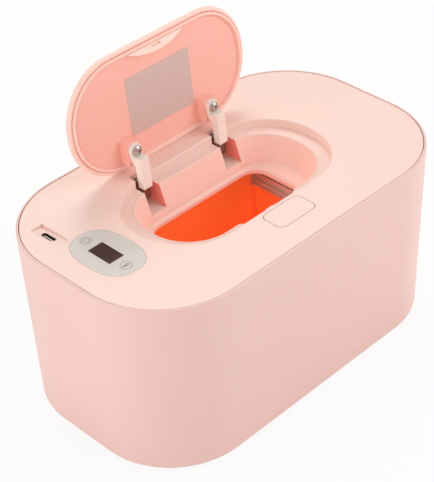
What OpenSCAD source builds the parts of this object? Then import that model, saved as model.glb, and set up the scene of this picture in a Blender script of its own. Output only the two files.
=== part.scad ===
// Baby wipe warmer: an oblong body with a heated tank, a lift-off top cover, a flap lid on
// two gooseneck hinges, a release button with its latch, and a touch panel.
// Millimetres, +Z up, long axis X, hinge side +Y, origin under the middle of the feet.
// The lid is drawn open; its pieces are modelled closed and turned about the hinge shaft.

/* [Body] */
// Overall width along X
body_w = 210; // [206:1:216]
// Overall depth along Y
body_d = 125.4; // [123:0.2:129]
// Height of the cover's top face above the table
body_h = 99.6; // [96:0.2:106]
// Plan radius of the body's corners at the top
corner_r = 46.1; // [42:0.1:48]
// How far each side leans in towards the foot
draft = 2.43; // [1:0.01:3]
// Wall thickness of the body
wall = 2.4; // [2:0.1:2.8]
// Height of the rubber feet below the base plate
foot_h = 1; // [0.8:0.1:1.6]

/* [Recess and mouth] */
// Width of the recess the lid closes into
recess_w = 117.8; // [116:0.2:120]
// Depth of that recess along Y
recess_d = 63.4; // [63.4:0.1:64.4]
// Plan radius of its corners
recess_r = 30.5; // [29:0.1:31.5]
// Depth of the ledge below the top face
ledge_depth = 4.7; // [4.5:0.1:5]
// Width of the dispensing mouth
mouth_w = 75.8; // [70:0.2:80]
// Depth of the mouth along Y
mouth_d = 37.4; // [34:0.2:38]
// Plan radius of the mouth's corners
mouth_r = 8.7; // [6:0.1:10]

/* [Lid and hinge] */
// Gap all round between the lid and the recess's edge
lid_gap = 0.5; // [0.4:0.05:0.6]
// Opening angle shown
lid_angle = 95.1; // [0:0.1:95.1]
// Distance of each hinge arm from the middle
arm_x = 26.2; // [25:0.1:28]
// Width of the slot each arm moves in
slot_w = 10; // [9.4:0.1:11]
// Diameter of the hinge shaft
shaft_d = 3; // [2.6:0.1:3.2]

/* [Button and controls] */
// Width of the release button
button_w = 24.5; // [22:0.5:27]
// Depth of the release button
button_d = 13.5; // [13:0.1:14]
// Travel of the button and of the latch
press = 1.4; // [1:0.1:1.4]
// Half width of the touch panel along X
panel_a = 13.2; // [12:0.1:13.6]
// Half length of the touch panel along Y
panel_b = 19.5; // [18.5:0.1:20]

/* [Tank] */
// Inside width of the tank
tank_w = 100; // [94:1:101]
// Inside depth of the tank
tank_d = 63.2; // [60:0.2:65]
// Wall thickness of the tank
tank_t = 1.6; // [1.2:0.1:1.6]
// Height of the tank's end walls
tank_end_h = 55.3; // [53:0.1:56]
// Height of the tank's long walls
tank_side_h = 66; // [62:0.5:68]

/* [Hidden] */
$fn = 48;
eps = 0.01;
shell_steps = 28;
loft_steps = 18;

// Colours
pink = "#fbd9cf";
pink_inner = "#f7b8aa";
orange = "#f4511f";
cream = "#f3d6c8";
steel = "#b9b6b2";
dark = "#3d302f";
grey = "#d6d5d1";
rubber = "#8f8783";
copper = "#c98b4a";
foam = "#e9e4dc";

// Heights of the body
plate_t = 2.4;
seat_z = body_h - plate_t;
base_z = foot_h;
base_t = 2.4;
floor_z = base_z + base_t;
draft_top = body_h - 1.8;
draft_foot = base_z + 1.6;
rim_t = 1.25;
cover_inset = 1.55;
seat_inset = 3.2;
skirt_out = 3.6;
skirt_in = 5.2;
skirt_z = seat_z - 6.2;

// Tank frame and posts
deck_t = 2.4;
deck_z = 60;
post_x = body_w / 2 - 25;
post_y = body_d / 2 - 18.7;
post_d = 8;
centre_x = body_w / 2 - corner_r;
centre_y = body_d / 2 - corner_r;
post_reach = norm([post_x - centre_x, post_y - centre_y]);
rib_len = corner_r - draft - 0.5 - post_reach;
foot_x = body_w / 2 - 39;
foot_y = body_d / 2 - 20.7;
foot_d = 12;
tank_x = tank_w / 2 + tank_t;
tank_y = tank_d / 2 + tank_t;
tank_r = 1.9;
tank_floor_z = 8;
film_t = 0.5;
film_gap = 0.03;
foam_t = 5;
frame_gap = 0.4;
collar_z = deck_z - 5.8;

// Recess, ledge and bowl of the cover, measured down from the top face
ledge_z = body_h - ledge_depth;
ridge_z = ledge_z + 0.45;
bowl_z = body_h - 18.1;
mouth_z = body_h - 23.6;
bowl_slope = 0.37;
rx = recess_w / 2;
ry = recess_d / 2;
bowl_x = rx - 8.4;
bowl_y = ry - 5.9;
bowl_r = recess_r - 6.6;
mx = mouth_w / 2;
my = mouth_d / 2;
bowl_fall = bowl_slope * (ledge_z - bowl_z);
bowl_t = 2.2;

// Hinge, in the closed position
pivot_y = ry + 5.5;
pivot_z = body_h - 5.4;
lip_z = body_h - 2.1;
slot_back = ry + 4.3;
pocket_back = pivot_y + 10.8;
pocket_floor = body_h - 16.1;
pocket_wall = 1.6;
lx = rx - lid_gap;
ly = ry - lid_gap;
lid_r = recess_r - lid_gap;
leaf_t = 1.5;
leaf_w = 4.2;
knuckle_d = shaft_d + 2.2;
bend_r = 3.55;
bend_y = pivot_y + 4.9;
leg_z = pivot_z - 2 * bend_r;
pad_z = lip_z - 7.3;
jog_y = ly - 10.2;
screw_y = ly - 13.1;
boss_z = lip_z - 5.5;
field_z = lip_z + 0.3;
clip_x = arm_x + slot_w / 2 + pocket_wall + 0.3;

// Release button and latch
button_y = -(ry + 9.3);
button_x = -0.2;
button_r = 3.3;
well_gap = 0.3;
well_wall = 1.4;
well_floor_z = body_h - 9;
well_floor_t = 1.6;
cap_t = 1.5;
button_back = button_y + button_d / 2;
button_front = button_y - button_d / 2;
tongue_z = ledge_z + 0.1;
tongue_t = 1;
tongue_w = 5;
latch_z = well_floor_z + 0.3;
latch_t = 1.5;
cap_skirt_z = latch_z + latch_t + press + 0.9;
peg_top_y = button_front + 1.35;
peg_run = body_h - cap_t - (latch_z + latch_t);
spring_x = 8.6;
strike_y = -(ly - 4);
catch_x = 18;
catch_y = 3.6;
catch_r = (catch_x * catch_x + catch_y * catch_y) / (2 * catch_y);
crescent_r = 47;
crescent_x = 20.5;
crescent_y = -(ry - 1.3);

// Touch panel, board and socket
panel_x = -(body_w / 2 - 26.6);
panel_y = -0.6;
panel_t = 0.8;
window_x = panel_x - 0.7;
window_y = panel_y + 0.4;
touch_y = 13.65;
board_t = 1.6;
board_top = body_h - 7;
board_bottom = board_top - board_t;
board_x0 = panel_x - 15.6;
board_w = 28;
board_y0 = -26;
board_d = 62;
usb_x = panel_x - 9.9;
usb_y = 29.2;
usb_w = 8.9;
usb_t = 3.2;
tower_x = panel_x - 2;
tower_z = deck_z + 4;
contact_z = deck_z + 0.6;

// Outline of a rounded rectangle s = [z, half width, half depth, radius]
function corner(cx, cy, r, z, a0, n) = [
    for (k = [0:n]) [cx + r * cos(a0 + 90 * k / n), cy + r * sin(a0 + 90 * k / n), z]
];
function outline(s, n) = concat(
    corner(s[1] - s[3], s[2] - s[3], s[3], s[0], 0, n),
    corner(s[3] - s[1], s[2] - s[3], s[3], s[0], 90, n),
    corner(s[3] - s[1], s[3] - s[2], s[3], s[0], 180, n),
    corner(s[1] - s[3], s[3] - s[2], s[3], s[0], 270, n)
);

// Sections of the body and of the lid at a height and an inset
function lean(z) = draft * (draft_top - z) / (draft_top - draft_foot);
function body_at(z, i) = [
    z, body_w / 2 - lean(z) - i, body_d / 2 - lean(z) - i, corner_r - lean(z) - i
];
function flat_at(z, i) = [z, body_w / 2 - i, body_d / 2 - i, corner_r - i];
function recess_at(z, i) = [z, rx - i, ry - i, recess_r - i];
function bowl_at(z, i) = [
    z, bowl_x - bowl_slope * (ledge_z - z) - i, bowl_y - bowl_slope * (ledge_z - z) - i,
    bowl_r - bowl_slope * (ledge_z - z) - i
];
function mouth_at(z, i) = [z, mx + i, my + i, mouth_r + i];
function lid_at(z, i, j) = [z, lx - i, ly - j, lid_r - max(i, j)];

// Skin over rings of points, either capped at both ends or closed on itself
module skin(rings, closed = false, flat = true) {
    n = len(rings);
    m = len(rings[0]);
    rows = closed ? n : n - 1;
    quads = [
        for (i = [0:rows - 1], j = [0:m - 1])
            let (k = (i + 1) % n, l = (j + 1) % m)
                [i * m + j, k * m + j, k * m + l, i * m + l]
    ];
    sides = flat ? quads : [for (q = quads) each [[q[0], q[1], q[2]], [q[0], q[2], q[3]]]];
    caps = closed ? [] : [[for (j = [0:m - 1]) j], [for (j = [0:m - 1]) n * m - 1 - j]];
    polyhedron(points = [for (ring = rings) each ring], faces = concat(sides, caps), convexity = 10);
}

module loft(sections, steps = loft_steps, closed = false) {
    skin([for (s = sections) outline(s, steps)], closed);
}

// Round tube along a path that never runs along the reference direction
module tube(path, r, sides, ref) {
    n = len(path);
    skin([
        for (i = [0:n - 1])
            let (
                step = path[min(i + 1, n - 1)] - path[max(i - 1, 0)],
                d = step / norm(step),
                side = cross(d, ref),
                u = side / norm(side),
                v = cross(d, u)
            )
                [for (k = [0:sides - 1]) path[i] + r * (cos(360 * k / sides) * u + sin(360 * k / sides) * v)]
    ], flat = false);
}

// Exact rounded rectangle and the slabs and rings made from it
module round_rect(hx, hy, r) {
    square([2 * (hx - r), 2 * hy], center = true);
    square([2 * hx, 2 * (hy - r)], center = true);
    for (sx = [-1, 1], sy = [-1, 1]) {
        translate([sx * (hx - r), sy * (hy - r)])
            circle(r);
    }
}

module slab(hx, hy, r, z0, z1) {
    translate([0, 0, z0])
        linear_extrude(z1 - z0)
            round_rect(hx, hy, r);
}

module band(hx, hy, r, t, z0, z1) {
    difference() {
        slab(hx, hy, r, z0, z1);
        slab(hx - t, hy - t, r - t, z0 - eps, z1 + eps);
    }
}

module box(x0, x1, y0, y1, z0, z1) {
    translate([x0, y0, z0])
        cube([x1 - x0, y1 - y0, z1 - z0]);
}

module rod(d, z0, z1) {
    translate([0, 0, z0])
        cylinder(h = z1 - z0, d = d);
}

module four(x, y) {
    for (sx = [-1, 1], sy = [-1, 1]) {
        translate([sx * x, sy * y, 0])
            children();
    }
}

// Profile in Y and Z carried along X
module along_x(x0, x1) {
    translate([x0, 0, 0])
        rotate([90, 0, 90])
            linear_extrude(x1 - x0)
                children();
}

module two_arms() {
    for (s = [-1, 1]) {
        translate([s * arm_x, 0, 0])
            children();
    }
}

module opened() {
    translate([0, pivot_y, pivot_z])
        rotate([-lid_angle, 0, 0])
            translate([0, -pivot_y, -pivot_z])
                children();
}

// Pan head screw pointing along +Z from under its head, with a cross recess
module pan_screw(d, head_d, head_h, length) {
    difference() {
        union() {
            rod(head_d, -head_h * 0.6, 0);
            translate([0, 0, -head_h])
                cylinder(h = head_h * 0.4 + eps, d1 = head_d * 0.66, d2 = head_d);
            rod(d, -eps, length);
        }
        for (a = [0, 90]) {
            rotate(a)
                translate([-head_d * 0.28, -head_d * 0.07, -head_h - eps])
                    cube([head_d * 0.56, head_d * 0.14, head_h * 0.55]);
        }
    }
}

// Outer shell

module outer_shell() {
    color(pink)
        difference() {
            union() {
                loft([
                    body_at(base_z, 1.4), body_at(base_z + 0.3, 0.75), body_at(base_z + 0.9, 0.2),
                    body_at(base_z + 1.8, 0), flat_at(draft_top, 0), flat_at(body_h - 1.1, 0),
                    flat_at(body_h - 0.5, 0.12), flat_at(body_h - 0.15, 0.4), flat_at(body_h, 0.75),
                    flat_at(body_h, rim_t), flat_at(seat_z, rim_t), flat_at(seat_z, seat_inset),
                    flat_at(seat_z - 1.6, seat_inset), body_at(seat_z - 3.6, wall),
                    body_at(base_z, wall)
                ], shell_steps, true);
                for (sx = [-1, 1], sy = [-1, 1]) {
                    translate([sx * post_x, sy * post_y, 0]) {
                        rod(post_d, floor_z, deck_z - deck_t);
                        rotate(atan2(sy * (post_y - centre_y), sx * (post_x - centre_x)))
                            box(2.2, rib_len, -0.9, 0.9, floor_z + 0.8, deck_z - deck_t - 0.8);
                    }
                }
            }
            four(post_x, post_y) {
                rod(3.1, floor_z - 1, floor_z + 11);
                rod(3.1, deck_z - deck_t - 11, deck_z);
            }
        }
}

module base_plate() {
    hx = body_w / 2 - lean(base_z) - wall - 0.28;
    hy = body_d / 2 - lean(base_z) - wall - 0.28;
    color(pink)
        difference() {
            union() {
                slab(hx, hy, corner_r - lean(base_z) - wall - 0.28, base_z, floor_z);
                band(tank_x + foam_t + film_t + 1.8, tank_y + foam_t + film_t + 1.8, 8, 1.5,
                    floor_z - eps, floor_z + 4);
            }
            four(post_x, post_y) {
                rod(3.4, base_z - 1, floor_z + 1);
                rod(6.2, base_z - 1, base_z + 1.4);
            }
            four(foot_x, foot_y)
                rod(foot_d + 0.2, base_z - 1, base_z + 1);
        }
}

module base_screws() {
    color(steel)
        four(post_x, post_y)
            translate([0, 0, base_z + 1.4])
                pan_screw(3, 5.4, 1.3, 11);
}

module rubber_feet() {
    color(rubber)
        four(foot_x, foot_y) {
            cylinder(h = 0.5, d1 = foot_d - 1, d2 = foot_d);
            rod(foot_d, 0.5 - eps, base_z + 1);
        }
}

// Frame round the tank: a deck with a stepped rim at both ends of its opening
module tank_frame() {
    hx = body_w / 2 - lean(deck_z - deck_t) - wall - 0.4;
    hy = body_d / 2 - lean(deck_z - deck_t) - wall - 0.4;
    color(pink)
        difference() {
            union() {
                slab(hx, hy, corner_r - lean(deck_z - deck_t) - wall - 0.4, deck_z - deck_t, deck_z);
                slab(tank_x + 4, tank_y + 2.2, 3, collar_z, deck_z - eps);
            }
            box(-tank_x - frame_gap, tank_x + frame_gap, -tank_y - frame_gap, tank_y + frame_gap,
                collar_z - 1, deck_z + 1);
            box(-tank_x - 2.2, tank_x + 2.2, -tank_y - frame_gap, tank_y + frame_gap,
                deck_z - 3.2, deck_z + 1);
            four(post_x, post_y)
                rod(3.3, deck_z - deck_t - 1, deck_z + 1);
            translate([tower_x, 0, 0])
                slab(5.3, 9.3, 1, deck_z - deck_t - 1, deck_z + 1);
        }
}

module deck_screws() {
    color(steel)
        four(post_x, post_y)
            translate([0, 0, deck_z])
                mirror([0, 0, 1])
                    pan_screw(3, 5.6, 1.8, 10);
}

module heating_tank() {
    color(orange)
        difference() {
            slab(tank_x, tank_y, tank_r + tank_t, tank_floor_z, tank_side_h);
            slab(tank_w / 2, tank_d / 2, tank_r, tank_floor_z + 2, tank_side_h + 1);
            for (s = [-1, 1]) {
                box(s * (tank_x + 0.3) - 1.2, s * (tank_x + 0.3) + 1.2, -tank_y - 1, tank_y + 1,
                    tank_end_h, tank_side_h + 1);
            }
        }
}

module heating_film() {
    color(copper)
        band(tank_x + film_t, tank_y + film_t, tank_r + tank_t + film_t, film_t - film_gap,
            tank_floor_z + 6, collar_z - 4.2);
}

module insulation_sleeve() {
    x = tank_x + film_t + foam_t;
    color(foam)
        difference() {
            band(x, tank_y + film_t + foam_t, 9, foam_t, tank_floor_z, collar_z);
            box(-x - 1, -tank_x - film_t + 1, -4, 4, 24, collar_z + 1);
            box(-x - 1, -tank_x - film_t + 1, 9, 20, 24, collar_z + 1);
        }
}

module insulation_pad() {
    color(foam)
        slab(tank_x + film_t + foam_t, tank_y + film_t + foam_t, 6, floor_z, tank_floor_z);
}

module temperature_sensor() {
    color(dark)
        translate([-tank_x - film_t - 1.4, 0, 0]) {
            rod(2.8, 27, 33);
            translate([0, 0, 27])
                sphere(d = 2.8);
        }
}

module thermal_cutout() {
    color(steel)
        difference() {
            box(-tank_x - film_t - 3, -tank_x - film_t, 10, 19, 28, 42);
            for (y = [12, 17]) {
                translate([-tank_x - film_t - 3, y, 35])
                    rotate([0, 90, 0])
                        cylinder(h = 1, d = 2, center = true);
            }
        }
}

// Leads from the sensor, the cutout and the film, up and out under the deck to the contacts
function lead_path(x0, z0, y) = concat(
    [[x0, y, z0], [x0, y, 46]],
    [for (a = [15:15:90]) [x0 - 4 * (1 - cos(a)), y, 46 + 4 * sin(a)]],
    [[tower_x + 6, y, 50]],
    [for (a = [15:15:90]) [tower_x + 6 - 4 * sin(a), y, 50 + 4 * (1 - cos(a))]],
    [[tower_x + 2, y, 56]]
);

module heater_leads() {
    x0 = -tank_x - film_t - 2;
    color("#c7372f")
        for (y = [-2.8, 2.8]) {
            tube(lead_path(x0, 34, y), 0.6, 8, [0, 1, 0]);
        }
    color("#e8e4df")
        for (y = [-0.9, 0.9]) {
            tube(lead_path(x0 + 0.6, 33, y), 0.5, 8, [0, 1, 0]);
        }
}

module deck_contacts() {
    color(copper)
        translate([tower_x, 0, 0]) {
            difference() {
                slab(5, 9, 0.8, deck_z - deck_t - 1.6, deck_z);
                for (y = [-6, -2, 2, 6]) {
                    translate([0, y, 0])
                        rod(1.6, deck_z - deck_t - 2, deck_z - 2);
                }
            }
            for (y = [-6, -2, 2, 6]) {
                translate([0, y, 0])
                    rod(3, deck_z - eps, contact_z);
            }
        }
}

// Top cover with recess, ledge, bowl, mouth, hinge pockets, button well and skirt
cover_profile = [
    flat_at(seat_z, cover_inset), flat_at(body_h - 0.5, cover_inset),
    flat_at(body_h - 0.15, cover_inset + 0.15), flat_at(body_h, cover_inset + 0.5),
    recess_at(body_h, -1), recess_at(body_h - 0.08, -0.6), recess_at(body_h - 0.29, -0.29),
    recess_at(body_h - 0.6, -0.08), recess_at(body_h - 1, 0), recess_at(ledge_z + 0.5, 0),
    recess_at(ledge_z + 0.12, 0.12), recess_at(ledge_z, 0.5),
    [ledge_z, bowl_x + 1.5, bowl_y + 1.3, bowl_r + 1.3],
    [ridge_z, bowl_x + 0.9, bowl_y + 0.8, bowl_r + 0.8],
    [ridge_z, bowl_x + 0.4, bowl_y + 0.4, bowl_r + 0.4],
    bowl_at(ledge_z - 0.3, 0), bowl_at(bowl_z + 0.8, 0),
    [bowl_z, bowl_x - bowl_fall - 0.9, bowl_y - bowl_fall - 0.2, mouth_r + 7.5],
    [bowl_z - 1.5, mx + 1.9, my + 1.5, mouth_r + 1.8],
    [bowl_z - 2.1, mx + 0.7, my + 0.6, mouth_r + 0.7], mouth_at(bowl_z - 3, 0),
    mouth_at(mouth_z + 0.6, 0), mouth_at(mouth_z, 0.5), mouth_at(mouth_z, 1.9),
    mouth_at(mouth_z + 0.5, 2.2), mouth_at(bowl_z - 3.4, 2.2),
    [bowl_z - 1.4, bowl_x - bowl_fall + 1, bowl_y - bowl_fall + 2.1, mouth_r + 9],
    bowl_at(bowl_z, -bowl_t), bowl_at(ledge_z - bowl_t, -bowl_t),
    recess_at(ledge_z - bowl_t, -2.1), recess_at(seat_z, -2.1),
    flat_at(seat_z, skirt_in), flat_at(skirt_z, skirt_in), flat_at(skirt_z, skirt_out),
    flat_at(seat_z - 4.2, skirt_out), flat_at(seat_z - 4.2, skirt_out + 0.7),
    flat_at(seat_z - 2.4, skirt_out + 0.7), flat_at(seat_z - 2.4, skirt_out),
    flat_at(seat_z, skirt_out)
];

module hinge_pocket() {
    z0 = pocket_floor - pocket_wall;
    along_x(-slot_w / 2 - pocket_wall, slot_w / 2 + pocket_wall)
        polygon([
            [bowl_y - bowl_slope * (ledge_z - z0) + 0.6, z0],
            [bowl_y - bowl_slope * 2 + 1, ledge_z - 2],
            [ry + 1, ledge_z - 1], [ry + 1, seat_z + 0.2],
            [pocket_back + pocket_wall, seat_z + 0.2], [pocket_back + pocket_wall, z0]
        ]);
}

// Scallop in the front ledge that leaves room for the lid's catch, and the floor under it
module crescent() {
    intersection() {
        translate([0, crescent_y + crescent_r, ledge_z - 2.9])
            cylinder(h = 6, r = crescent_r, $fn = 360);
        box(-crescent_x, crescent_x, -ry, -bowl_y + 6, ledge_z - 4, body_h);
    }
}

module crescent_floor() {
    z0 = ledge_z - 5.1;
    along_x(-crescent_x - 1, crescent_x + 1)
        polygon([
            [-ry - 2, z0], [bowl_slope * (ledge_z - z0) - bowl_y - 1.2, z0],
            [bowl_slope * 2.2 - bowl_y - 1.1, ledge_z - bowl_t + 0.1],
            [-ry - 2, ledge_z - bowl_t + 0.1]
        ]);
}

module button_well() {
    translate([button_x, button_y, 0])
        slab(button_w / 2 + well_gap + well_wall, button_d / 2 + well_gap + well_wall,
            button_r + well_gap + well_wall, well_floor_z - well_floor_t, seat_z + 0.2);
}

module usb_scoop() {
    x1 = usb_x + 4.3;
    y1 = usb_y + 9.8;
    intersection() {
        box(x1 - 7, x1, y1 - 19, y1, body_h - 2.2, body_h + 1);
        translate([x1, y1, body_h - 1.7])
            rotate([-3.43, 7.97, 0])
                translate([-20, -30, 0])
                    cube([26, 36, 6]);
    }
}

module panel_shape(grow) {
    polygon([
        for (k = [0:5:355])
            let (c = cos(k), s = sin(k))
                [
                    (panel_a + grow) * sign(c) * pow(abs(c), 0.8),
                    (panel_b + grow) * sign(s) * pow(abs(s), 0.8)
                ]
    ]);
}

board_holes = [
    [board_x0 + 3.2, board_y0 + 4], [board_x0 + board_w - 3.2, board_y0 + 4],
    [board_x0 + 3.2, 17], [board_x0 + board_w - 3.6, board_y0 + board_d - 4]
];

module top_cover() {
    color(pink)
        difference() {
            union() {
                loft(cover_profile, loft_steps, true);
                two_arms()
                    hinge_pocket();
                button_well();
                crescent_floor();
                for (p = board_holes) {
                    translate([p[0], p[1], 0])
                        rod(5.6, board_top, seat_z + 0.2);
                }
            }
            // slots for the arms and the pockets they swing in
            two_arms() {
                box(-slot_w / 2, slot_w / 2, ry - 12, slot_back, pocket_floor, body_h + 1);
                box(-slot_w / 2, slot_w / 2, ry - 12, pocket_back, pocket_floor, seat_z);
            }
            translate([-clip_x - 2, pivot_y, pivot_z])
                rotate([0, 90, 0])
                    cylinder(h = 2 * clip_x + 4, d = shaft_d + 0.06);
            // crescent in the front ledge under the lid's catch
            crescent();
            // button well, its floor opening and the way through for the latch tongue
            translate([button_x, button_y, 0])
                slab(button_w / 2 + well_gap, button_d / 2 + well_gap, button_r + well_gap,
                    well_floor_z, body_h + 1);
            box(-2.7, 2.7, button_front + 5.5, button_back - 1.6, well_floor_z - 3, well_floor_z + 1);
            box(-tongue_w / 2 - 0.3, tongue_w / 2 + 0.3, button_back - 1, crescent_y + 0.3,
                tongue_z - 0.3, tongue_z + tongue_t + 0.3);
            // touch panel, display and touch contacts
            translate([panel_x, panel_y, body_h - panel_t])
                linear_extrude(2)
                    panel_shape(0.1);
            translate([window_x, window_y, 0])
                slab(5.8, 8.8, 0.6, seat_z - 1, body_h);
            for (s = [-1, 1]) {
                translate([window_x, window_y + s * touch_y, 0])
                    rod(7.6, seat_z - 1, body_h);
            }
            // socket
            usb_scoop();
            translate([usb_x, usb_y, 0])
                slab(usb_t / 2 + 0.15, usb_w / 2 + 0.15, usb_t / 2 + 0.1, seat_z - 1, body_h + 1);
            for (p = board_holes) {
                translate([p[0], p[1], 0])
                    rod(2.6, board_top - 1, seat_z);
            }
        }
}

module cover_seal() {
    color(rubber)
        band(body_w / 2 - skirt_out + 0.1, body_d / 2 - skirt_out + 0.1, corner_r - skirt_out + 0.1,
            0.8, seat_z - 4.2, seat_z - 2.4);
}

module control_panel() {
    color(grey)
        translate([panel_x, panel_y, body_h - panel_t])
            difference() {
                linear_extrude(panel_t)
                    panel_shape(0);
                translate([window_x - panel_x, window_y - panel_y, 0])
                    slab(4.5, 7.5, 0.4, -1, panel_t + 1);
                for (s = [-1, 1]) {
                    translate([window_x - panel_x, window_y - panel_y + s * touch_y, panel_t - 0.1])
                        difference() {
                            cylinder(h = 1, d = 5.8);
                            translate([0, 0, -1])
                                cylinder(h = 3, d = 5.3);
                        }
                }
            }
}

module display_window() {
    color(dark)
        translate([window_x, window_y, 0])
            slab(4.45, 7.45, 0.35, body_h - panel_t, body_h - 0.05);
}

module display_module() {
    color("#27211f")
        translate([window_x, window_y, 0])
            slab(5.5, 8.5, 0.4, board_top, body_h - panel_t);
}

module control_board() {
    color("#3f7a52")
        difference() {
            union() {
                box(board_x0, board_x0 + board_w, board_y0, board_y0 + board_d, board_bottom, board_top);
                box(board_x0 + 7, board_x0 + 15, -21, -13, board_bottom - 1.6, board_bottom + eps);
                box(board_x0 + 14, board_x0 + 21, 18, 27, board_bottom - 2.4, board_bottom + eps);
            }
            for (p = board_holes) {
                translate([p[0], p[1], 0])
                    rod(2.8, board_bottom - 1, board_top + 1);
            }
        }
}

module board_screws() {
    color(steel)
        for (p = board_holes) {
            translate([p[0], p[1], board_bottom])
                pan_screw(2.5, 4.4, 1.5, board_t + 4);
        }
}

module usb_c_socket() {
    top = body_h - 0.7;
    color(steel)
        translate([usb_x, usb_y, 0]) {
            difference() {
                slab(usb_t / 2, usb_w / 2, usb_t / 2 - 0.05, board_top, top);
                slab(usb_t / 2 - 0.3, usb_w / 2 - 0.3, usb_t / 2 - 0.4, board_top + 1.2, top + 1);
            }
            box(-0.35, 0.35, -3.3, 3.3, board_top + 1, top - 0.6);
        }
}

module touch_pads() {
    color(dark)
        for (s = [-1, 1]) {
            translate([window_x, window_y + s * touch_y, 0])
                rod(7, board_top, body_h - panel_t);
        }
}

module contact_tower() {
    color(dark)
        translate([tower_x, 0, 0])
            difference() {
                union() {
                    slab(4.5, 8.6, 1, tower_z, board_bottom);
                    slab(6.5, 10.6, 1.5, board_bottom - 2, board_bottom);
                }
                for (y = [-6, -2, 2, 6]) {
                    translate([0, y, 0])
                        rod(2.04, tower_z - 1, board_bottom + 1);
                }
            }
}

module contact_pins() {
    color(copper)
        for (y = [-6, -2, 2, 6]) {
            translate([tower_x, y, 0]) {
                rod(2, tower_z - 1.2, board_bottom);
                rod(1.3, contact_z, tower_z - 1);
            }
        }
}

module hinge_shaft() {
    color(steel)
        translate([-clip_x - 1.2, pivot_y, pivot_z])
            rotate([0, 90, 0])
                cylinder(h = 2 * clip_x + 2.4, d = shaft_d);
}

module shaft_clips() {
    color(steel)
        for (s = [-1, 1]) {
            translate([s * (clip_x + 0.3), pivot_y, pivot_z])
                rotate([0, 90, 0])
                    difference() {
                        cylinder(h = 0.6, d = shaft_d + 2.6, center = true);
                        cylinder(h = 2, d = shaft_d + 0.04, center = true);
                        translate([0, -3, -1])
                            cube([5, 1.6, 2]);
                    }
        }
}

// Torsion springs on the shaft: coils with one leg under the cover and one beside the knuckle
spring_r = shaft_d / 2 + 0.75;
spring_turns = 6;
spring_pitch = 1.25;

function coil_point(x, a) = [x, pivot_y + spring_r * cos(a), pivot_z + spring_r * sin(a)];
function torsion_path(s) = concat(
    [[s * 9, pivot_y + 8, pivot_z + spring_r], [s * 9, pivot_y + 1, pivot_z + spring_r]],
    [
        for (k = [0:20:360 * spring_turns])
            coil_point(s * (9 + spring_pitch * k / 360), 90 + k)
    ],
    [
        [s * (9 + spring_pitch * spring_turns), pivot_y - 1, pivot_z + spring_r],
        [s * (9 + spring_pitch * spring_turns), pivot_y - 1.6, pivot_z + spring_r]
    ]
);

module torsion_springs() {
    echo(torsion_spring_gap = spring_pitch - 0.7);
    color(steel)
        for (s = [-1, 1]) {
            tube(torsion_path(s), 0.35, 8, [1, 0, 0]);
        }
}

coil_z0 = well_floor_z;
coil_z1 = body_h - cap_t;
coil_turns = 4;
coil_wire = 0.5;

function coil_path() = [
    for (k = [0:20:360 * (coil_turns + 2)])
        let (
            wound = min(max(k - 360, 0), 360 * coil_turns) / (360 * coil_turns),
            rise = 0.52 * (k - 360 * coil_turns * wound) / 360,
            body = coil_z1 - coil_z0 - coil_wire - 1.04
        )
            [2 * cos(k), 2 * sin(k), coil_z0 + coil_wire / 2 + rise + body * wound]
];

module button_springs() {
    echo(button_spring_gap = (coil_z1 - coil_z0 - coil_wire - 1.04) / coil_turns - coil_wire);
    color(steel)
        for (s = [-1, 1]) {
            translate([button_x + s * spring_x, button_y, 0])
                tube(coil_path(), coil_wire / 2, 8, [0, 0, 1]);
        }
}

// Button cap with a skirt and a slanted peg that draws the latch back
module release_button() {
    cap_z = body_h - cap_t;
    color(pink)
        union() {
            difference() {
                translate([button_x, button_y, 0])
                    slab(button_w / 2, button_d / 2, button_r, cap_skirt_z, body_h);
                translate([button_x, button_y, 0])
                    slab(button_w / 2 - 1.1, button_d / 2 - 1.1, button_r - 1.1, cap_skirt_z - 1, cap_z);
                box(-tongue_w / 2 - 0.5, tongue_w / 2 + 0.5, button_back - 2, button_back + 1,
                    cap_skirt_z - 1, cap_z);
            }
            along_x(-2, 2)
                polygon([
                    [peg_top_y, cap_z + 0.2], [peg_top_y, cap_z],
                    [peg_top_y + peg_run + latch_t, latch_z],
                    [peg_top_y + peg_run + latch_t + 2, latch_z],
                    [peg_top_y + 2, cap_z], [peg_top_y + 2, cap_z + 0.2]
                ]);
        }
}

module latch_hook() {
    y0 = peg_top_y + peg_run;
    color(cream)
        union() {
            difference() {
                box(-6, 6, button_front + 1.7, button_back - 0.15, latch_z, latch_z + latch_t);
                box(-2.3, 2.3, y0 - 0.3, y0 + latch_t + 2.3, latch_z - 1, latch_z + latch_t + 1);
            }
            box(-tongue_w / 2, tongue_w / 2, button_back - 1.95, button_back - 0.15,
                latch_z, tongue_z + tongue_t);
            along_x(-tongue_w / 2, tongue_w / 2)
                polygon([
                    [button_back - 1, tongue_z], [strike_y - 0.3, tongue_z],
                    [strike_y - 0.3, tongue_z + 0.25], [strike_y - 2, tongue_z + tongue_t],
                    [button_back - 1, tongue_z + tongue_t]
                ]);
        }
}

// Lid: outer skin, inner panel with bosses and catch, seal, blank label
module lid_shell() {
    color(pink)
        opened()
            loft([
                lid_at(lip_z + 1.7, 2.1, 2.1), lid_at(lip_z + 0.2, 1.9, 1.9), lid_at(lip_z, 1.7, 1.7),
                lid_at(lip_z, 1.1, 1.1), lid_at(lip_z + 0.5, 0.65, 0.65), lid_at(lip_z + 1, 0.3, 0.3),
                lid_at(lip_z + 1.5, 0, 0), lid_at(lip_z + 2, 0, 0), lid_at(lip_z + 2.5, 0.35, 0.35),
                lid_at(lip_z + 2.85, 1.1, 1.1), lid_at(lip_z + 3.2, 3.5, 3.5),
                lid_at(lip_z + 3.5, 8, 8), lid_at(lip_z + 3.65, 14, 14)
            ]);
}

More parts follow.
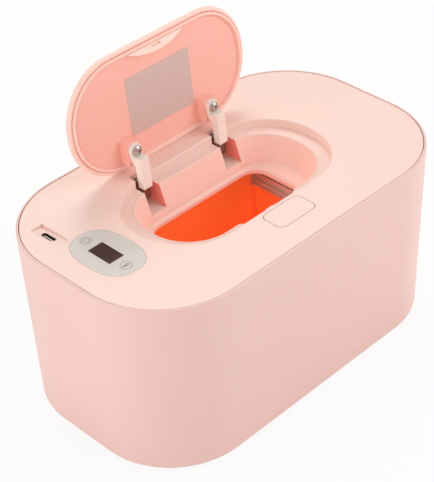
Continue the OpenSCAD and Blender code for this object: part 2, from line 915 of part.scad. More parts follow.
// Crescent pad the latch catches, thickest at its inner edge
module catch_pad() {
    intersection() {
        along_x(-catch_x, catch_x)
            polygon([
                [strike_y, lip_z + 0.3], [strike_y, lip_z - 1.3],
                [strike_y + catch_y, lip_z - 3], [strike_y + catch_y, lip_z + 0.4]
            ]);
        translate([0, strike_y + catch_y - catch_r, lip_z - 4])
            cylinder(h = 6, r = catch_r, $fn = 360);
    }
}

module lid_inner_panel() {
    z1 = lip_z + 1.7;
    color(pink_inner)
        opened()
            difference() {
                union() {
                    loft([
                        lid_at(field_z, 5.6, 4.6), lid_at(field_z - 0.3, 5.2, 4.4),
                        lid_at(lip_z - 0.5, 5, 4.2), lid_at(lip_z - 0.5, 4.6, 4),
                        lid_at(lip_z + 0.4, 4.4, 4), lid_at(lip_z + 0.4, 2.4, 2.4),
                        lid_at(z1, 2.4, 2.4)
                    ]);
                    two_arms()
                        box(-3.9, 3.9, ly - 17, ly - 5, boss_z, field_z + 0.2);
                    catch_pad();
                }
                two_arms()
                    translate([0, screw_y, 0])
                        rod(3.04, boss_z - 1, lip_z - 0.3);
                box(-2.85, 2.85, strike_y + 0.45, strike_y + 1.45, lip_z - 4, lip_z - 0.6);
            }
}

module lid_seal() {
    color(pink_inner)
        opened()
            loft([
                lid_at(lip_z - 0.9, 3.9, 3.6), lid_at(lip_z - 0.4, 4.3, 3.9),
                lid_at(lip_z + 0.4, 4.3, 3.9), lid_at(lip_z + 0.4, 2.4, 2.4),
                lid_at(lip_z - 0.4, 2.4, 2.4), lid_at(lip_z - 0.9, 2.9, 2.8)
            ], loft_steps, true);
}

module lid_label() {
    color("#dcc4bc")
        opened()
            box(-21, 21, ly - 46.5, ly - 15.5, field_z - 0.15, field_z);
}

// Gooseneck hinge leaf: pad under the screw, straight leg, U bend and knuckle
module leaf_profile(g) {
    difference() {
        union() {
            translate([jog_y - 6 - g, pad_z - g])
                square([7.5 + 2 * g, leaf_t + 2 * g]);
            translate([jog_y - g, leg_z - leaf_t / 2 - g])
                square([leaf_t + 2 * g, pad_z + leaf_t - leg_z + leaf_t / 2 + 2 * g]);
            translate([jog_y - g, leg_z - leaf_t / 2 - g])
                square([bend_y - jog_y + g, leaf_t + 2 * g]);
            translate([pivot_y, pivot_z - leaf_t / 2])
                square([bend_y - pivot_y, leaf_t]);
            translate([pivot_y, pivot_z])
                circle(d = knuckle_d);
            difference() {
                translate([bend_y, leg_z + bend_r])
                    circle(r = bend_r + leaf_t / 2);
                translate([bend_y, leg_z + bend_r])
                    circle(r = bend_r - leaf_t / 2);
                translate([bend_y - 20, leg_z - 10])
                    square([20, 30]);
            }
        }
        translate([pivot_y, pivot_z])
            circle(d = shaft_d + 0.1);
    }
}

module hinge_leaf() {
    difference() {
        along_x(-leaf_w / 2, leaf_w / 2)
            leaf_profile(0);
        translate([0, screw_y, 0])
            rod(3.2, pad_z - 1, pad_z + 3);
    }
}

module arm_sleeve() {
    difference() {
        union() {
            box(-2.7, 2.7, jog_y - 0.2, pivot_y + 0.4, leg_z - 2.1, leg_z + 2.15);
            along_x(-2.7, 2.7)
                polygon([
                    [jog_y - 0.2, leg_z], [jog_y - 0.2, boss_z], [jog_y + 2.4, boss_z],
                    [jog_y + 5.2, leg_z + 2]
                ]);
            translate([0, screw_y, boss_z - 2.1])
                cylinder(h = 2.1, r = 3.4);
            box(-3, 3, screw_y, jog_y + 1, boss_z - 2.1, boss_z);
        }
        along_x(-leaf_w / 2 - 0.05, leaf_w / 2 + 0.05)
            leaf_profile(0.05);
        translate([0, screw_y, 0])
            rod(3.2, boss_z - 4, boss_z + 1);
        translate([-5, pivot_y - 3, pivot_z - 5])
            cube([10, 10, 20]);
    }
}

module hinge_screws() {
    color(steel)
        opened()
            two_arms()
                translate([0, screw_y, boss_z - 2.1])
                    pan_screw(3, 5.2, 1.9, 6.8);
}

outer_shell();
base_plate();
base_screws();
rubber_feet();
tank_frame();
deck_screws();
heating_tank();
heating_film();
insulation_sleeve();
insulation_pad();
temperature_sensor();
thermal_cutout();
heater_leads();
deck_contacts();
top_cover();
cover_seal();
control_panel();
display_window();
display_module();
control_board();
board_screws();
usb_c_socket();
touch_pads();
contact_tower();
contact_pins();
hinge_shaft();
shaft_clips();
torsion_springs();
button_springs();
release_button();
latch_hook();
lid_shell();
lid_inner_panel();
lid_seal();
lid_label();
union() {  // left_hinge_leaf
    color(steel) opened() translate([-arm_x, 0, 0]) hinge_leaf();
}
union() {  // right_hinge_leaf
    color(steel) opened() translate([arm_x, 0, 0]) hinge_leaf();
}
union() {  // left_arm_sleeve
    color(cream) opened() translate([-arm_x, 0, 0]) arm_sleeve();
}
union() {  // right_arm_sleeve
    color(cream) opened() translate([arm_x, 0, 0]) arm_sleeve();
}
hinge_screws();
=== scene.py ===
"""Baby wipe warmer: finishes of the frame's parts, the moulded tank, printed symbols and a pale studio."""
import logging
import math
from dataclasses import dataclass
from enum import Enum, IntEnum
from typing import Any

import bmesh
import bpy
from mathutils import Matrix, Vector


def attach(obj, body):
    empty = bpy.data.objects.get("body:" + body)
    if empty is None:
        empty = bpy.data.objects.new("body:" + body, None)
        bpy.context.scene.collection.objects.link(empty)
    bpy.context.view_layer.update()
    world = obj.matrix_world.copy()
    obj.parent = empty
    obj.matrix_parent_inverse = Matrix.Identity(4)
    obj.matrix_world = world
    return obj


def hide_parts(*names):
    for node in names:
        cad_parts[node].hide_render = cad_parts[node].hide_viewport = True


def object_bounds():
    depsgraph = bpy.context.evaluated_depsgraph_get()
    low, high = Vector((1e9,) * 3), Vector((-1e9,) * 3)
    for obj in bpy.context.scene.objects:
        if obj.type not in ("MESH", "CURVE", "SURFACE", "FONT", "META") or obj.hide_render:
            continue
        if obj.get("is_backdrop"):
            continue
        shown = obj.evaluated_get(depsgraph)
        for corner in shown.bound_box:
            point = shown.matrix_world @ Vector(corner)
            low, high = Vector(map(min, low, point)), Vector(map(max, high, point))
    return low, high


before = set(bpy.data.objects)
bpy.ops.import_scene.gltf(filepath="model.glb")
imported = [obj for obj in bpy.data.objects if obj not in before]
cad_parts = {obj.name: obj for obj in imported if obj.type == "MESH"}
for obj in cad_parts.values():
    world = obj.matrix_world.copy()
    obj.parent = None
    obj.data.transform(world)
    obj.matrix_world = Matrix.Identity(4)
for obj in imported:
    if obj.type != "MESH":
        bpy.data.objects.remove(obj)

MM = 0.001
# Middle of the hinge shaft in mm, and the lid's opening angle as loaded in degrees
HINGE = (0.0, 37.2, 94.2)
LID_ANGLE = 95.1
# Distance in mm below which loose corners are one, and below which two heights are the same
WELD_MM = 0.002
NEAR_MM = 0.1
# How far each colour of light spreads in the plastics, and the roughness of a clear coat
SPREAD = (1.0, 0.55, 0.4)
COAT_ROUGHNESS = 0.08
log = logging.getLogger("wipe_warmer")


class Body(str, Enum):
    """The bodies that pieces ride on."""

    BASE = "body"
    COVER = "cover"


class Edge(Enum):
    """Angle in degrees above which two faces meet in a crisp edge."""

    MOULDED = 32.0
    MACHINED = 40.0
    WOUND = 70.0


class TankFace(IntEnum):
    """Place of the tank's other finishes in its list of materials, after that of its walls."""

    RIM = 1
    CORNER = 2


def linear(hex_colour: str) -> tuple[float, float, float, float]:
    """Turns an sRGB hex colour into linear values.

    Args:
        hex_colour: Colour such as "#fbd9cf".

    Returns:
        Linear red, green, blue and an alpha of 1.
    """
    values = [int(hex_colour[i:i + 2], 16) / 255 for i in (1, 3, 5)]
    r, g, b = [v / 12.92 if v <= 0.04045 else ((v + 0.055) / 1.055) ** 2.4 for v in values]
    return r, g, b, 1.0


def add_node(tree: bpy.types.NodeTree, kind: str, inputs: dict[str | int, Any] | None = None,
             **settings: Any) -> Any:
    """Adds a shader node with its settings, its values and its links.

    Args:
        tree: Node tree that gets the node.
        kind: Blender's type name of the node.
        inputs: Value of each input by name or number, or the output socket that is linked to it.
        **settings: Properties of the node itself.

    Returns:
        The new node.
    """
    node = tree.nodes.new(kind)
    for name, value in settings.items():
        setattr(node, name, value)
    for name, value in (inputs or {}).items():
        if isinstance(value, bpy.types.NodeSocket):
            tree.links.new(value, node.inputs[name])
        else:
            node.inputs[name].default_value = value
    return node


@dataclass(frozen=True)
class Finish:
    """One real material and how its surface was made.

    Attributes:
        name: Name of the Blender material.
        colour: Surface colour as sRGB hex.
        roughness: Roughness of the surface.
        ior: Index of refraction.
        metallic: 1 for metals.
        coat: Weight of a clear skin over the surface.
        scatter: Share of the light that soaks into the plastic.
        scatter_mm: How far that light spreads.
        grain_mm: Size of the surface grain, 0 for none.
        grain_depth_mm: Depth of that grain.
        round_mm: Radius that catches the light along the edges.
        glow: Painted glow: light that the surface gives off in its own colour, as a share of that colour,
            standing in for light that comes through thin walls.
    """

    name: str
    colour: str
    roughness: float
    ior: float = 1.5
    metallic: float = 0.0
    coat: float = 0.0
    scatter: float = 0.0
    scatter_mm: float = 1.0
    grain_mm: float = 0.0
    grain_depth_mm: float = 0.0
    round_mm: float = 0.0
    glow: float = 0.0

    def material(self) -> bpy.types.Material:
        """Returns the Blender material, built on first use."""
        found = bpy.data.materials.get(self.name)
        return found or self._build()

    def _build(self) -> bpy.types.Material:
        """Builds the material's nodes.

        Returns:
            The new material.
        """
        material = bpy.data.materials.new(self.name)
        material.use_nodes = True
        tree = material.node_tree
        tree.nodes.clear()
        values: dict[str, Any] = {
            "Base Color": linear(self.colour),
            "Roughness": self.roughness,
            "IOR": self.ior,
            "Metallic": self.metallic,
            "Coat Weight": self.coat,
            "Coat Roughness": COAT_ROUGHNESS,
            "Subsurface Weight": self.scatter,
            "Subsurface Scale": self.scatter_mm * MM,
            "Subsurface Radius": SPREAD,
            # Painted glow: the surface gives off light in its own colour
            "Emission Color": linear(self.colour),
            "Emission Strength": self.glow,
        }
        normal = None
        if self.round_mm:
            soft = add_node(tree, "ShaderNodeBevel", {"Radius": self.round_mm * MM}, samples=4)
            normal = soft.outputs["Normal"]
        if self.grain_mm:
            place = add_node(tree, "ShaderNodeTexCoord").outputs["Object"]
            grain = add_node(tree, "ShaderNodeTexNoise",
                             {"Vector": place, "Scale": 1 / (self.grain_mm * MM), "Detail": 2.0})
            lumps: dict[str, Any] = {"Height": grain.outputs["Fac"], "Distance": self.grain_depth_mm * MM}
            if normal is not None:
                lumps["Normal"] = normal
            normal = add_node(tree, "ShaderNodeBump", lumps).outputs["Normal"]
        if normal is not None:
            values["Normal"] = normal
        shader = add_node(tree, "ShaderNodeBsdfPrincipled", values)
        add_node(tree, "ShaderNodeOutputMaterial", {"Surface": shader.outputs["BSDF"]})
        material.diffuse_color = linear(self.colour)
        return material


# Moulded ABS with a satin tool finish: pale pink, soft broad highlights
COVER_ABS = Finish("ABS moulded satin pink", "#fcdfd5", 0.38, 1.53,
                   scatter=0.12, scatter_mm=1.2, round_mm=0.5)
# The same ABS from a polished tool on the tall shell: clearer, longer highlights
SHELL_ABS = Finish("ABS moulded glossy pink", "#f8d3cc", 0.30, 1.53,
                   scatter=0.12, scatter_mm=1.2, round_mm=0.4)
# The lid's outside: the same satin ABS, thin, light and warm, with a painted glow that stands in for light
# coming through it from behind
LID_ABS = Finish("ABS moulded lid pink", "#ffd8cc", 0.36, 1.53, scatter=0.2, scatter_mm=1.5, round_mm=0.4,
                 glow=0.1)
# The lid's inner panel: the same pink ABS, matt, painted a deeper salmon with a painted glow; both stand in
# for light coming through the lid from behind and pink bounce light
INNER_ABS = Finish("ABS inner panel, painted backlit salmon", "#ffc1b3", 0.45, 1.53,
                   scatter=0.2, scatter_mm=1.5, round_mm=0.3, glow=0.07)
# Its catch pad, thick and pale like the plain pink plastic, so that it stands out from the thin panel's
# painted salmon; its glow is painted light
PAD_ABS = Finish("ABS moulded catch pad pale", "#ffe0d4", 0.45, 1.53,
                 scatter=0.2, scatter_mm=1.5, round_mm=0.2, glow=0.07)
# The cover's plastic in the bowl, thinner there: painted a warmer pink with a painted glow, standing in for
# light that comes through the thin walls from both sides and pink bounce light in the hollow
BOWL_ABS = Finish("ABS bowl, painted lit-through pink", "#fcd3c6", 0.40, 1.53, scatter=0.15, scatter_mm=1.2, round_mm=0.5,
                  glow=0.07)
# The frame round the tank, natural polypropylene: off-white, so that it shows among the orange reflections
FRAME_PP = Finish("PP moulded natural white frame", "#fbf4ee", 0.45, 1.49, round_mm=0.2)
# The cover's plastic deep in the hinge slots, painted red with a painted glow: painted shade, tinted red by
# bounce light, where little light reaches the walls
SLOT_SHADE_ABS = Finish("ABS slot wall, painted red shade", "#fa8a79", 0.45, 1.53, scatter=0.2, scatter_mm=1.5, glow=0.12)
# The bead round the lid's inner panel: soft and pale, with a dull sheen and a painted glow
BEAD_TPE = Finish("TPE moulded bead pale pink", "#ffd4c7", 0.5, 1.5,
                  scatter=0.2, scatter_mm=1.5, round_mm=0.3, glow=0.1)
# Polypropylene tank, moulded and waxy: strong orange, wide soft shine, with a painted glow that makes it
# brighter than its lamps light it
TANK_PP = Finish("PP moulded orange", "#f87c3b", 0.42, 1.49, scatter=0.15, scatter_mm=1.0, round_mm=0.2,
                 glow=0.26)
# The same plastic in the tank's corners, painted a deeper orange: painted shade along the corners, with the
# same painted glow
CORNER_SHADE_PP = Finish("PP orange, painted corner shade", "#f4703a", 0.42, 1.49, scatter=0.15, scatter_mm=1.0, glow=0.26)
# Acetal hinge sleeves: warm white that turns to cream beside the pink, slightly waxy, with a faint painted
# glow
ARM_POM = Finish("POM moulded cream", "#fff6ed", 0.38, 1.48,
                 scatter=0.2, scatter_mm=1.0, round_mm=0.25, glow=0.03)
# PET overlay of the touch panel: light warm grey, thin gloss
PANEL_PET = Finish("PET overlay light grey", "#d3d2cc", 0.32, 1.57, round_mm=0.1)
# Tinted acrylic over the display: dark brown glass look
WINDOW_PMMA = Finish("PMMA tinted display window", "#1f1413", 0.16, 1.49)
# Screen-printed ink of the symbols: matt dark grey
PRINT_INK = Finish("screen print ink dark grey", "#6f6a68", 0.6)
# ABS of the sensor and block parts: near black, satin
DARK_ABS = Finish("ABS moulded dark", "#2e2725", 0.45, 1.53)
# Glass-epoxy circuit board under green mask
BOARD_FR4 = Finish("FR4 board green mask", "#2f6b45", 0.35, 1.55)
# Polyimide heating film: amber, thin sheen
HEATER_FILM = Finish("polyimide heating film amber", "#b5712c", 0.3, 1.6, coat=0.3)
# Polyethylene foam: off-white, dead matt with fine cells
PE_FOAM = Finish("PE foam off-white", "#e6e1d9", 0.9, 1.4, grain_mm=1.2, grain_depth_mm=0.15)
# Silicone rubber of feet and seal: grey, matt
SILICONE = Finish("silicone rubber grey", "#8a827f", 0.6, 1.42)
# Silicone lead insulation: red, soft shine
LEAD_SILICONE = Finish("silicone lead insulation red", "#b53a30", 0.5, 1.42)
# Brass contacts: gold-yellow metal, lightly worn
CONTACT_BRASS = Finish("brass contacts drawn", "#c99d5a", 0.28, metallic=1.0)
# Nickel-plated steel screws: bright, mirror-like spots
SCREW_STEEL = Finish("nickel plated steel screws", "#c9c5bf", 0.2, metallic=1.0, round_mm=0.1)
# Spring steel leaf, punched and oiled: darker, brushed look
HINGE_STEEL = Finish("spring steel leaf oiled", "#8d837c", 0.34, metallic=1.0, round_mm=0.1)
# Stainless shell of the inlet: darkened satin metal
SOCKET_STEEL = Finish("stainless steel socket shell", "#8a7a74", 0.26, metallic=1.0)
# Blank sticker on the lid: thin translucent grey-pink film
LABEL_FILM = Finish("polyester blank sticker film", "#dcc3bd", 0.35, 1.57)


@dataclass(frozen=True)
class Zone:
    """Box in the frame whose faces get a finish of their own.

    Attributes:
        finish: Finish of the faces inside.
        low: Lowest corner in mm, with the lid closed.
        high: Highest corner in mm, with the lid closed.
        on_lid: Whether the box opens with the lid.
    """

    finish: Finish
    low: tuple[float, float, float]
    high: tuple[float, float, float]
    on_lid: bool = False

    def holds(self, point: Vector) -> bool:
        """Tells whether a point lies in the box.

        Args:
            point: Point in the frame as loaded, in metres.

        Returns:
            True when it is inside.
        """
        place = point / MM
        if self.on_lid:
            hinge = Vector(HINGE)
            place = hinge + Matrix.Rotation(math.radians(LID_ANGLE), 3, "X") @ (place - hinge)
        return all(low < value < high for low, value, high in zip(self.low, place, self.high))


# The catch pad near the lid's free edge
CATCH_PAD = Zone(PAD_ABS, (-18.2, -27.3, 94.3), (18.2, -23.5, 97.6), on_lid=True)
# The slots' walls that face the camera, given the painted red shade
SLOT_WALLS = (Zone(SLOT_SHADE_ABS, (-21.3, 19.0, 83.0), (-21.1, 49.0, 99.0)),
              Zone(SLOT_SHADE_ABS, (31.1, 19.0, 83.0), (31.3, 49.0, 99.0)))
# The bowl between the ledge and the mouth, painted a warmer, glowing pink
BOWL = Zone(BOWL_ABS, (-52.0, -27.0, 74.0), (52.0, 27.0, 94.8))
# The steel pads' corners, which stick out of the sleeves by a few tenths of a millimetre: coloured like them
LEAF_PADS = (Zone(ARM_POM, (-29.0, 14.5, 90.0), (29.0, 21.2, 91.9), on_lid=True),)


def dress(node: str, finish: Finish, edge: Edge = Edge.MOULDED, zones: tuple[Zone, ...] = ()) -> None:
    """Gives a CAD node its finish and smooth shading while its mesh is left alone.

    Args:
        node: Name of the CAD node.
        finish: Finish that the node gets.
        edge: How sharp an angle has to be to stay a crisp edge.
        zones: Boxes whose faces get another finish.
    """
    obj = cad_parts[node]
    obj.data.materials.clear()
    obj.data.materials.append(finish.material())
    for index, zone in enumerate(zones, 1):
        obj.data.materials.append(zone.finish.material())
        held = [face for face in obj.data.polygons if zone.holds(face.center)]
        for face in held:
            face.material_index = index
        log.info("%s: %d faces, %s", node, len(held), zone.finish.name)
    if "custom_normal" in obj.data.attributes:
        obj.data.attributes.remove(obj.data.attributes["custom_normal"])
    obj.data.shade_smooth()
    weld = obj.modifiers.new("Weld", "WELD")
    weld.merge_threshold = WELD_MM * MM
    split = obj.modifiers.new("Edges", "EDGE_SPLIT")
    split.use_edge_sharp = False
    split.split_angle = math.radians(edge.value)
    weighted = obj.modifiers.new("Normals", "WEIGHTED_NORMAL")
    weighted.weight = 100
    weighted.keep_sharp = True
    log.info("%s: %s", node, finish.name)


def add_piece(name: str, mesh: bmesh.types.BMesh, finish: Finish, body: Body) -> bpy.types.Object:
    """Makes an object of a finished bmesh and hangs it on its body.

    Args:
        name: Name of the piece.
        mesh: The piece in the frame's metres; it is freed here.
        finish: Finish that the piece gets.
        body: Body that carries the piece.

    Returns:
        The new object, at the origin.
    """
    bmesh.ops.recalc_face_normals(mesh, faces=mesh.faces)
    data = bpy.data.meshes.new(name)
    mesh.to_mesh(data)
    mesh.free()
    data.materials.append(finish.material())
    obj = bpy.data.objects.new(name, data)
    bpy.context.scene.collection.objects.link(obj)
    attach(obj, body.value)
    log.info("%s: %d faces, %s", name, len(data.polygons), finish.name)
    return obj


@dataclass
class Housing:
    """Tall shell with its base, feet and screws."""

    def build(self) -> None:
        """Dresses the shell, the base plate, the feet and the screws under it."""
        dress("outer_shell", SHELL_ABS)
        dress("base_plate", SHELL_ABS)
        dress("rubber_feet", SILICONE)
        dress("base_screws", SCREW_STEEL, Edge.MACHINED)


@dataclass
class Heater:
    """Tank with its frame, heating film, insulation, sensor, cutout and leads.

    Attributes:
        half_x: Half the tank's inside width in mm.
        half_y: Half its inside depth.
        floor: Height of its inside floor.
        end_top: Height of its end walls.
        side_top: Height of its long walls.
        corner: Radius of its inside corners.
        corner_steps: Number of flats round each corner.
        wall: Thickness of its walls.
        level: Least upward share of a level face's direction.
        slant: Least sideways share, both ways, of a corner face's direction.
    """

    half_x: float = 50.0
    half_y: float = 31.6
    floor: float = 10.0
    end_top: float = 55.3
    side_top: float = 66.0
    corner: float = 1.9
    corner_steps: int = 8
    wall: float = 1.6
    level: float = 0.9
    slant: float = 0.1

    def build(self) -> None:
        """Moulds the tank and dresses everything else that the cover hides."""
        dress("tank_frame", FRAME_PP)
        dress("deck_screws", SCREW_STEEL, Edge.MACHINED)
        self.mould_tank()
        dress("heating_film", HEATER_FILM)
        dress("insulation_sleeve", PE_FOAM)
        dress("insulation_pad", PE_FOAM)
        dress("temperature_sensor", DARK_ABS)
        dress("thermal_cutout", SCREW_STEEL)
        dress("heater_leads", LEAD_SILICONE, Edge.WOUND)
        dress("deck_contacts", CONTACT_BRASS)

    def raise_edges(self, mesh: bmesh.types.BMesh, edges: list[bmesh.types.BMEdge], rise: float) -> None:
        """Draws a wall up from some edges.

        Args:
            mesh: Bmesh that gets the wall.
            edges: Edges that it starts from.
            rise: Its height in mm.
        """
        made = bmesh.ops.extrude_edge_only(mesh, edges=edges)["geom"]
        bmesh.ops.translate(mesh, verts=[item for item in made if isinstance(item, bmesh.types.BMVert)],
                            vec=(0, 0, rise * MM))

    def outline(self) -> list[Vector]:
        """Gives the outline of the tank's inside floor.

        Returns:
            Points in metres, counter-clockwise from the right end.
        """
        points = []
        for quarter, (sx, sy) in enumerate(((1, 1), (-1, 1), (-1, -1), (1, -1))):
            for step in range(self.corner_steps + 1):
                angle = math.radians(90 * quarter + 90 / self.corner_steps * step)
                points.append(Vector((sx * (self.half_x - self.corner) + self.corner * math.cos(angle),
                                      sy * (self.half_y - self.corner) + self.corner * math.sin(angle),
                                      self.floor)) * MM)
        return points

    def is_long(self, edge: bmesh.types.BMEdge) -> bool:
        """Tells whether an edge is the top of a long wall, at the end walls' height.

        Args:
            edge: Edge of the tank.

        Returns:
            True for the two long edges.
        """
        first, second = (vert.co / MM for vert in edge.verts)
        return (abs(first.z - self.end_top) < NEAR_MM and abs(second.z - self.end_top) < NEAR_MM
                and abs(first.x - second.x) > self.half_x)

    def mould_tank(self) -> None:
        """Moulds the tank with end walls as low as photographed; the CAD one keeps a thin skin above them."""
        mesh = bmesh.new()
        floor = mesh.faces.new([mesh.verts.new(point) for point in self.outline()])
        self.raise_edges(mesh, floor.edges[:], self.end_top - self.floor)
        long_edges = [edge for edge in mesh.edges if self.is_long(edge)]
        self.raise_edges(mesh, long_edges, self.side_top - self.end_top)
        bmesh.ops.recalc_face_normals(mesh, faces=mesh.faces)
        mesh.normal_update()
        if floor.normal.z < 0:
            bmesh.ops.reverse_faces(mesh, faces=mesh.faces)
        bmesh.ops.solidify(mesh, geom=mesh.faces[:], thickness=self.wall * MM)
        mesh.normal_update()
        for face in mesh.faces:
            place = face.calc_center_median() / MM
            if abs(face.normal.z) > self.level and abs(place.z - self.end_top) < NEAR_MM:
                face.material_index = TankFace.RIM
            # Corner faces get the painted corner shade
            elif abs(face.normal.x) > self.slant and abs(face.normal.y) > self.slant:
                face.material_index = TankFace.CORNER
        tank = add_piece("moulded_tank", mesh, TANK_PP, Body.BASE)
        tank.data.materials.append(FRAME_PP.material())
        tank.data.materials.append(CORNER_SHADE_PP.material())
        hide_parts("heating_tank")


@dataclass
class TopCover:
    """Lift-off cover with its seal, hinge shaft, springs and button."""

    def build(self) -> None:
        """Dresses the cover and the small parts it carries."""
        dress("top_cover", COVER_ABS, zones=(BOWL, *SLOT_WALLS))
        dress("cover_seal", SILICONE)
        dress("hinge_shaft", SCREW_STEEL, Edge.MACHINED)
        dress("shaft_clips", SCREW_STEEL)
        dress("torsion_springs", SCREW_STEEL, Edge.WOUND)
        dress("button_springs", SCREW_STEEL, Edge.WOUND)
        dress("release_button", COVER_ABS)
        dress("latch_hook", ARM_POM)


@dataclass
class TouchPanel:
    """Overlay with two printed touch rings, the display window, board and socket.

    Attributes:
        x: Place of both rings along X, in mm.
        centre_y: Middle between the rings along Y.
        reach: Distance from there to each ring.
        top: Height of the overlay's face.
        ring: Outer radius of a ring.
        line: Width of the printed lines.
        film: Thickness of the print.
        step_angle: Degrees of an arc that one flat covers.
        bar_round: Radius of a bar's ends as a share of its width, just under half so that they stay open.
    """

    x: float = -79.1
    centre_y: float = -0.2
    reach: float = 13.65
    top: float = 99.6
    ring: float = 2.9
    line: float = 0.3
    film: float = 0.02
    step_angle: float = 6.0
    bar_round: float = 0.49

    def build(self) -> None:
        """Dresses the panel's parts and prints the rings and symbols."""
        dress("control_panel", PANEL_PET)
        dress("display_window", WINDOW_PMMA)
        dress("display_module", DARK_ABS)
        dress("control_board", BOARD_FR4)
        dress("board_screws", SCREW_STEEL, Edge.MACHINED)
        dress("usb_c_socket", SOCKET_STEEL)
        dress("touch_pads", DARK_ABS)
        dress("contact_tower", DARK_ABS)
        dress("contact_pins", CONTACT_BRASS)
        self.print_rings()
        self.print_power_symbol()
        self.print_temperature_symbol()

    def arc(self, mesh: bmesh.types.BMesh, centre: Vector, radius: float, width: float,
            start: float, sweep: float, z: float, height: float) -> None:
        """Adds a flat printed arc by spinning its cross-section.

        Args:
            mesh: Bmesh that gets the arc.
            centre: Middle of the arc in mm.
            radius: Outer radius in mm.
            width: Width of the line in mm.
            start: Angle at which the arc starts, in degrees from +X.
            sweep: Angle that it covers, 360 for a full ring.
            z: Height of its underside in mm.
            height: Its thickness in mm.
        """
        corners = [(radius - width, z), (radius, z), (radius, z + height), (radius - width, z + height)]
        turn = Matrix.Rotation(math.radians(start), 3, "Z")
        verts = [mesh.verts.new((turn @ Vector((r, 0, 0)) + Vector((centre.x, centre.y, h))) * MM)
                 for r, h in corners]
        face = mesh.faces.new(verts)
        bmesh.ops.spin(mesh, geom=[face], cent=(centre.x * MM, centre.y * MM, 0), axis=(0, 0, 1),
                       angle=math.radians(sweep), steps=int(sweep / self.step_angle), use_merge=sweep == 360)
        if sweep == 360:
            bmesh.ops.delete(mesh, geom=[face], context="FACES_ONLY")

    def bar(self, mesh: bmesh.types.BMesh, centre: Vector, length: float, width: float) -> None:
        """Adds a printed bar with rounded ends along X.

        Args:
            mesh: Bmesh that gets the bar.
            centre: Middle of the bar in mm.
            length: Its whole length in mm.
            width: Its width in mm.
        """
        made = bmesh.ops.create_cube(mesh, size=1.0)["verts"]
        bmesh.ops.scale(mesh, verts=made, vec=Vector((length, width, self.film)) * MM)
        bmesh.ops.translate(mesh, verts=made, vec=Vector((centre.x, centre.y, self.top + self.film / 2)) * MM)
        uprights = {e for v in made for e in v.link_edges
                    if abs(e.verts[0].co.z - e.verts[1].co.z) > self.film * MM / 2}
        bmesh.ops.bevel(mesh, geom=list(uprights), offset=width * self.bar_round * MM, offset_type="OFFSET",
                        segments=4, profile=0.5, affect="EDGES", material=-1)

    def print_rings(self) -> None:
        """Prints the two rings into their grooves."""
        slack, width, depth, ink = 0.01, 0.23, 0.099, 0.09
        mesh = bmesh.new()
        for side in (-1, 1):
            centre = Vector((self.x, self.centre_y + side * self.reach, 0))
            self.arc(mesh, centre, self.ring - slack, width, 0, 360, self.top - depth, ink)
        add_piece("touch_ring_print", mesh, PRINT_INK, Body.COVER)

    def print_power_symbol(self) -> None:
        """Prints the power symbol, open towards the end of the housing."""
        mesh = bmesh.new()
        centre = Vector((self.x, self.centre_y + self.reach, 0))
        radius, gap, stem, stem_x = 1.65, 70, 1.5, -1.05
        self.arc(mesh, centre, radius, self.line, 180 + gap / 2, 360 - gap, self.top, self.film)
        self.bar(mesh, centre + Vector((stem_x, 0, 0)), stem, self.line)
        add_piece("power_symbol_print", mesh, PRINT_INK, Body.COVER)

    def print_temperature_symbol(self) -> None:
        """Prints the thermometer symbol: a filled stem and a bulb with its dot."""
        mesh = bmesh.new()
        centre = Vector((self.x, self.centre_y - self.reach, 0))
        bulb = centre + Vector((1.05, 0, 0))
        stem, stem_width, stem_x = 2.4, 0.75, -0.75
        bulb_radius, bulb_line, dot, dot_width = 0.85, 0.22, 0.62, 0.6
        self.bar(mesh, centre + Vector((stem_x, 0, 0)), stem, stem_width)
        self.arc(mesh, bulb, bulb_radius, bulb_line, 0, 360, self.top, self.film)
        self.bar(mesh, bulb, dot, dot_width)
        add_piece("temperature_symbol_print", mesh, PRINT_INK, Body.COVER)


@dataclass
class Lid:
    """Flap lid with its inner panel, bead, blank sticker and gooseneck hinges."""

    def build(self) -> None:
        """Dresses the lid, its hinges and its screws."""
        dress("lid_shell", LID_ABS)
        dress("lid_inner_panel", INNER_ABS, zones=(CATCH_PAD,))
        dress("lid_seal", BEAD_TPE)
        dress("lid_label", LABEL_FILM)
        dress("hinge_screws", SCREW_STEEL, Edge.MACHINED)
        for side in ("left", "right"):
            dress(f"{side}_hinge_leaf", HINGE_STEEL, zones=LEAF_PADS)
            dress(f"{side}_arm_sleeve", ARM_POM)


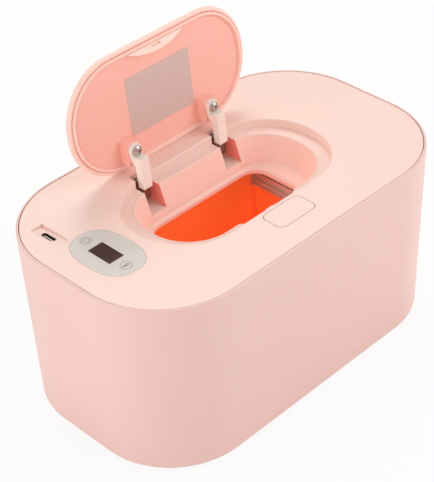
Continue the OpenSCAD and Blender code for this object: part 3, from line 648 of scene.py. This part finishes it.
@dataclass
class Studio:
    """Pale floor, soft lamps, white surroundings and the camera.

    Attributes:
        azimuth: Camera's angle round the object in degrees.
        elevation: Camera's angle above the floor.
        roll: Camera's tilt round its own axis.
        distance: Distance from the camera to its target, in mm.
        lens: Focal length in mm.
        sensor: Width of the sensor in mm.
        near: Nearest distance that the camera sees, in metres.
        far: Farthest distance that it sees, in metres.
        target: Point that the camera looks at, in mm.
        lamp_aim: Point that the lamps face, in mm.
        floor_size: Half the floor's side in metres.
        floor_white: Share of plain white that the camera sees in the floor.
        ambient: Strength of the even light.
    """

    azimuth: float = -43.56
    elevation: float = 37.10
    roll: float = -2.92
    distance: float = 767.21
    lens: float = 114.59
    sensor: float = 36.0
    near: float = 0.05
    far: float = 50.0
    target: tuple[float, float, float] = (-2.98, 6.15, 60.0)
    lamp_aim: tuple[float, float, float] = (0.0, 0.0, 60.0)
    floor_size: float = 6.0
    floor_white: float = 0.88
    ambient: float = 0.5

    def build(self) -> None:
        """Sets up the floor, the surroundings, the lamps and the camera."""
        self.lay_floor()
        self.light_surroundings()
        self.hang_lamp("key", (330, 420, 760), 500, 2.3, "#fffaf6")
        self.hang_lamp("left", (-900, 100, 400), 700, 3.1, "#fffdfb")
        self.hang_lamp("front", (520, -700, 620), 700, 3.7, "#fffdfb")
        self.place_camera()

    def lay_floor(self) -> None:
        """Lays a white floor that keeps the object's shadow."""
        mesh = bmesh.new()
        bmesh.ops.create_grid(mesh, x_segments=1, y_segments=1, size=self.floor_size)
        data = bpy.data.meshes.new("floor")
        mesh.to_mesh(data)
        mesh.free()
        material = bpy.data.materials.new("studio paper white")
        material.use_nodes = True
        tree = material.node_tree
        tree.nodes.clear()
        paper = add_node(tree, "ShaderNodeBsdfDiffuse", {"Color": linear("#fbfaf9")})
        white = add_node(tree, "ShaderNodeEmission", {"Color": (1, 1, 1, 1), "Strength": 1.0})
        path = add_node(tree, "ShaderNodeLightPath")
        share = add_node(tree, "ShaderNodeMath", {0: path.outputs["Is Camera Ray"], 1: self.floor_white},
                         operation="MULTIPLY")
        mixed = add_node(tree, "ShaderNodeMixShader",
                         {0: share.outputs[0], 1: paper.outputs["BSDF"], 2: white.outputs["Emission"]})
        add_node(tree, "ShaderNodeOutputMaterial", {"Surface": mixed.outputs["Shader"]})
        data.materials.append(material)
        floor = bpy.data.objects.new("floor", data)
        bpy.context.scene.collection.objects.link(floor)
        floor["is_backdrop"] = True
        log.info("floor laid")

    def light_surroundings(self) -> None:
        """Gives the world a plain white of its own for the camera and an even light for the rest."""
        world = bpy.data.worlds.new("studio")
        world.use_nodes = True
        tree = world.node_tree
        tree.nodes.clear()
        path = add_node(tree, "ShaderNodeLightPath")
        even = add_node(tree, "ShaderNodeBackground", {"Color": linear("#fff8f5"), "Strength": self.ambient})
        white = add_node(tree, "ShaderNodeBackground", {"Color": (1, 1, 1, 1), "Strength": 1.0})
        mixed = add_node(tree, "ShaderNodeMixShader", {0: path.outputs["Is Camera Ray"],
                                                       1: even.outputs["Background"],
                                                       2: white.outputs["Background"]})
        add_node(tree, "ShaderNodeOutputWorld", {"Surface": mixed.outputs["Shader"]})
        bpy.context.scene.world = world
        log.info("surroundings lit")

    def hang_lamp(self, name: str, place: tuple[float, float, float], size: float, power: float,
                  colour: str) -> None:
        """Hangs one soft square lamp.

        Args:
            name: Name of the lamp.
            place: Where it hangs, in mm.
            size: Length of its side in mm.
            power: Power in watts.
            colour: Colour as sRGB hex.
        """
        lamp = bpy.data.lights.new(name, "AREA")
        lamp.size = size * MM
        lamp.energy = power
        lamp.color = linear(colour)[:3]
        obj = bpy.data.objects.new(name, lamp)
        obj.location = Vector(place) * MM
        obj.rotation_euler = (Vector(self.lamp_aim) - Vector(place)).to_track_quat("-Z", "Y").to_euler()
        bpy.context.scene.collection.objects.link(obj)
        log.info("%s lamp hung", name)

    def place_camera(self) -> None:
        """Places the camera at the photograph's viewing angle."""
        az, el, roll = (math.radians(a) for a in (self.azimuth, self.elevation, self.roll))
        back = Vector((math.sin(az) * math.cos(el), -math.cos(az) * math.cos(el), math.sin(el)))
        right = Vector((math.cos(az), math.sin(az), 0))
        up = back.cross(right)
        right, up = (math.cos(roll) * right + math.sin(roll) * up,
                     math.cos(roll) * up - math.sin(roll) * right)
        data = bpy.data.cameras.new("camera")
        data.lens = self.lens
        data.sensor_width = self.sensor
        data.clip_start = self.near
        data.clip_end = self.far
        camera = bpy.data.objects.new("camera", data)
        camera.matrix_world = Matrix.Translation((Vector(self.target) + back * self.distance) * MM) @ \
            Matrix((right, up, back)).transposed().to_4x4()
        bpy.context.scene.collection.objects.link(camera)
        bpy.context.scene.camera = camera
        bpy.context.scene.view_settings.view_transform = "Standard"
        log.info("camera placed")


def main(first: list[list[float]]) -> None:
    """Builds and dresses the object and sets up the studio.

    Args:
        first: Bounds straight after loading; not used.
    """
    logging.basicConfig(level=logging.INFO, format="%(message)s")
    for part in (Housing(), Heater(), TopCover(), TouchPanel(), Lid(), Studio()):
        part.build()
        log.info("%s done", type(part).__name__)


if __name__ == "__main__":
    main([list(corner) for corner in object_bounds()])
